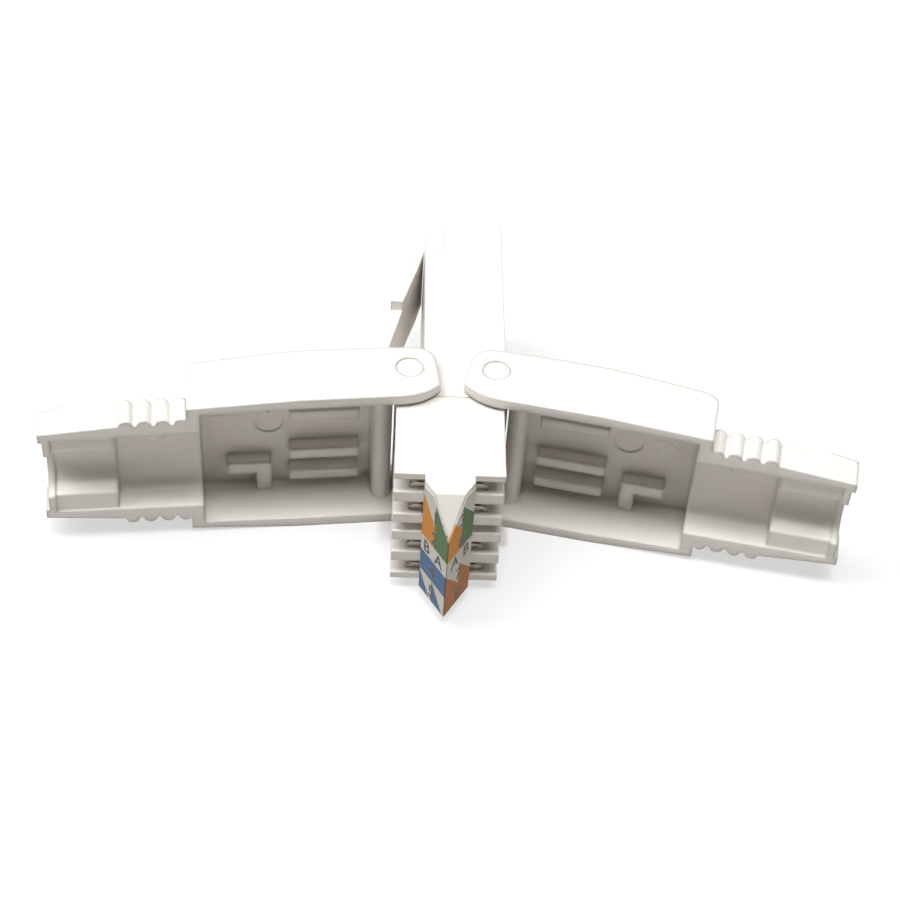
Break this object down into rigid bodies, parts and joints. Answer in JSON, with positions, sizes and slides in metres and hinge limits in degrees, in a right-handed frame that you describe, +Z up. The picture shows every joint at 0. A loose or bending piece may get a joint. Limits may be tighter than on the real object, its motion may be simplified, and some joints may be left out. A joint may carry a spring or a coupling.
{
  "type": "field-terminable ethernet plug",
  "caption": "Modular network plug lying on its side, its two hinged clamp shells swung open beside a comb block with a wedge and coloured wiring labels.",
  "frame": {"origin": "on the ground below the middle of the plug's box, with the shells open", "axes": "+Y out of the plug's nose, +X to the contact side, +Z up, across the plug's width"},
  "size_m": [0.0644, 0.0356, 0.0139],
  "materials": {
    "white_plastic": "semi-gloss moulded white",
    "shell_plastic": "semi-gloss moulded white",
    "board_laminate": "green solder mask",
    "printed_label": "printed colour fields on white film",
    "gilded_contact": "gold flash",
    "tinned_terminal": "tin plated"
  },
  "bodies": {
    "plug": {"nose_housing": "white_plastic", "terminal_block": "white_plastic", "link_board": "board_laminate", "contact_1": "gilded_contact", "contact_2": "gilded_contact", "contact_3": "gilded_contact", "contact_4": "gilded_contact", "contact_5": "gilded_contact", "contact_6": "gilded_contact", "contact_7": "gilded_contact", "contact_8": "gilded_contact", "terminal_1": "tinned_terminal", "terminal_2": "tinned_terminal", "terminal_3": "tinned_terminal", "terminal_4": "tinned_terminal", "terminal_5": "tinned_terminal", "terminal_6": "tinned_terminal", "terminal_7": "tinned_terminal", "terminal_8": "tinned_terminal", "label_latch_side": "printed_label", "label_contact_side": "printed_label"},
    "latch": {"latch_lever": "white_plastic"},
    "latch_side": {"shell_latch_side": "shell_plastic"},
    "contact_side": {"shell_contact_side": "shell_plastic"}
  },
  "joints": [
    {"name": "latch_side_hinge", "type": "hinge", "parent": "plug", "child": "latch_side", "pos_m": [-0.00324, -0.00263, 0.00695], "axis": [0, 0, 1], "range_deg": [-15, 83]},
    {"name": "contact_side_hinge", "type": "hinge", "parent": "plug", "child": "contact_side", "pos_m": [0.00366, -0.00263, 0.00695], "axis": [0, 0, 1], "range_deg": [-78.5, 15]},
    {"name": "latch_flex", "type": "hinge", "parent": "plug", "child": "latch", "pos_m": [-0.00264, 0.01722, 0.00695], "axis": [0, 0, 1], "range_deg": [0, 12], "stiffness_Nm_per_rad": 0.1}
  ]
}
